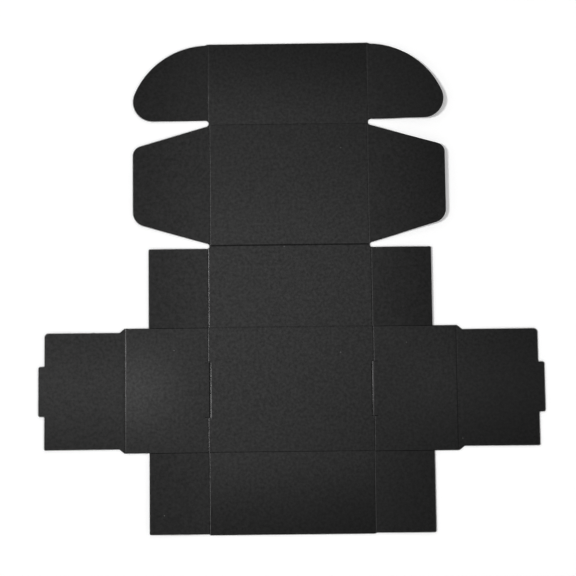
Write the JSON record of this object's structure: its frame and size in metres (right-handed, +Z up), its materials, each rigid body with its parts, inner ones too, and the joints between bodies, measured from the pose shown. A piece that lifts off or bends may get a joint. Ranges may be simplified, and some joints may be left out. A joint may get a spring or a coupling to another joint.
{
  "type": "folding gift box",
  "caption": "Flat die-cut and creased black card blank that folds up into a roll-end gift box with a tuck-in lid, lock tabs and dust flaps.",
  "frame": {"origin": "centre of the bottom panel's underside, the face that the box stands on flat or folded", "axes": "+Z up, out of the card's inner face; +Y from the bottom panel to the back wall, the lid and the tuck panel; +X to the right side wall"},
  "size_m": [0.3662, 0.3581, 0.0033],
  "materials": {
    "card": "matte",
    "crease": "matte"
  },
  "bodies": {
    "base": {"bottom_panel": "card"},
    "back": {"back_wall": "card", "crease_bottom_back": "crease"},
    "front": {"front_wall": "card", "crease_bottom_front": "crease"},
    "lid": {"lid_panel": "card", "crease_back_lid": "crease"},
    "tuck": {"tuck_panel": "card", "crease_lid_tuck": "crease"},
    "left_outer": {"left_outer_wall": "card", "crease_left_wall_rear": "crease", "crease_left_wall_front": "crease"},
    "right_outer": {"right_outer_wall": "card", "crease_right_wall_rear": "crease", "crease_right_wall_front": "crease"},
    "left_inner": {"left_inner_wall": "card", "crease_left_roll": "crease"},
    "right_inner": {"right_inner_wall": "card", "crease_right_roll": "crease"},
    "back_left_flap": {"back_left_corner_flap": "card", "crease_back_left_corner_flap": "crease"},
    "back_right_flap": {"back_right_corner_flap": "card", "crease_back_right_corner_flap": "crease"},
    "front_left_flap": {"front_left_corner_flap": "card", "crease_front_left_corner_flap": "crease"},
    "front_right_flap": {"front_right_corner_flap": "card", "crease_front_right_corner_flap": "crease"},
    "left_dust": {"left_dust_flap": "card", "crease_left_dust_flap": "crease"},
    "right_dust": {"right_dust_flap": "card", "crease_right_dust_flap": "crease"},
    "left_ear_flap": {"left_ear": "card", "crease_left_ear": "crease"},
    "right_ear_flap": {"right_ear": "card", "crease_right_ear": "crease"}
  },
  "joints": [
    {"name": "back_fold", "type": "hinge", "parent": "base", "child": "back", "pos_m": [0, 0.045, 0.0004], "axis": [1, 0, 0], "range_deg": [0, 90], "deforming": ["crease_bottom_back"]},
    {"name": "front_fold", "type": "hinge", "parent": "base", "child": "front", "pos_m": [0, -0.045, 0.0004], "axis": [-1, 0, 0], "range_deg": [0, 90], "deforming": ["crease_bottom_front"]},
    {"name": "left_wall_fold", "type": "hinge", "parent": "base", "child": "left_outer", "pos_m": [-0.06, 0, 0.0004], "axis": [0, 1, 0], "range_deg": [0, 90], "deforming": ["crease_left_wall_rear", "crease_left_wall_front"]},
    {"name": "right_wall_fold", "type": "hinge", "parent": "base", "child": "right_outer", "pos_m": [0.06, 0, 0.0004], "axis": [0, -1, 0], "range_deg": [0, 90], "deforming": ["crease_right_wall_rear", "crease_right_wall_front"]},
    {"name": "left_roll_fold", "type": "hinge", "parent": "left_outer", "child": "left_inner", "pos_m": [-0.12035, 0, 0.0007], "axis": [0, 1, 0], "range_deg": [-0.4, 179.6], "deforming": ["crease_left_roll"]},
    {"name": "right_roll_fold", "type": "hinge", "parent": "right_outer", "child": "right_inner", "pos_m": [0.12035, 0, 0.0007], "axis": [0, -1, 0], "range_deg": [-0.4, 179.6], "deforming": ["crease_right_roll"]},
    {"name": "lid_fold", "type": "hinge", "parent": "back", "child": "lid", "pos_m": [0, 0.105, 0.0004], "axis": [1, 0, 0], "range_deg": [0, 90], "deforming": ["crease_back_lid"]},
    {"name": "tuck_fold", "type": "hinge", "parent": "lid", "child": "tuck", "pos_m": [0, 0.1945, 0.0004], "axis": [1, 0, 0], "range_deg": [0, 90], "deforming": ["crease_lid_tuck"]},
    {"name": "back_left_flap_fold", "type": "hinge", "parent": "back", "child": "back_left_flap", "pos_m": [-0.0595, 0.075, 0.0004], "axis": [0, 1, 0], "range_deg": [-1, 89], "deforming": ["crease_back_left_corner_flap"]},
    {"name": "back_right_flap_fold", "type": "hinge", "parent": "back", "child": "back_right_flap", "pos_m": [0.0595, 0.075, 0.0004], "axis": [0, -1, 0], "range_deg": [-1.4, 88.6], "deforming": ["crease_back_right_corner_flap"]},
    {"name": "front_left_flap_fold", "type": "hinge", "parent": "front", "child": "front_left_flap", "pos_m": [-0.0595, -0.075, 0.0004], "axis": [0, 1, 0], "range_deg": [-1.4, 88.6], "deforming": ["crease_front_left_corner_flap"]},
    {"name": "front_right_flap_fold", "type": "hinge", "parent": "front", "child": "front_right_flap", "pos_m": [0.0595, -0.075, 0.0004], "axis": [0, -1, 0], "range_deg": [-0.8, 89.2], "deforming": ["crease_front_right_corner_flap"]},
    {"name": "left_dust_fold", "type": "hinge", "parent": "lid", "child": "left_dust", "pos_m": [-0.058, 0.14975, 0.0004], "axis": [0, 1, 0], "range_deg": [-0.8, 89.2], "deforming": ["crease_left_dust_flap"]},
    {"name": "right_dust_fold", "type": "hinge", "parent": "lid", "child": "right_dust", "pos_m": [0.058, 0.14975, 0.0004], "axis": [0, -1, 0], "range_deg": [-2.6, 87.4], "deforming": ["crease_right_dust_flap"]},
    {"name": "left_ear_fold", "type": "hinge", "parent": "tuck", "child": "left_ear_flap", "pos_m": [-0.0585, 0.225, 0.0004], "axis": [0, 1, 0], "range_deg": [-0.8, 89.2], "deforming": ["crease_left_ear"]},
    {"name": "right_ear_fold", "type": "hinge", "parent": "tuck", "child": "right_ear_flap", "pos_m": [0.0585, 0.225, 0.0004], "axis": [0, -1, 0], "range_deg": [-3, 87], "deforming": ["crease_right_ear"]}
  ]
}
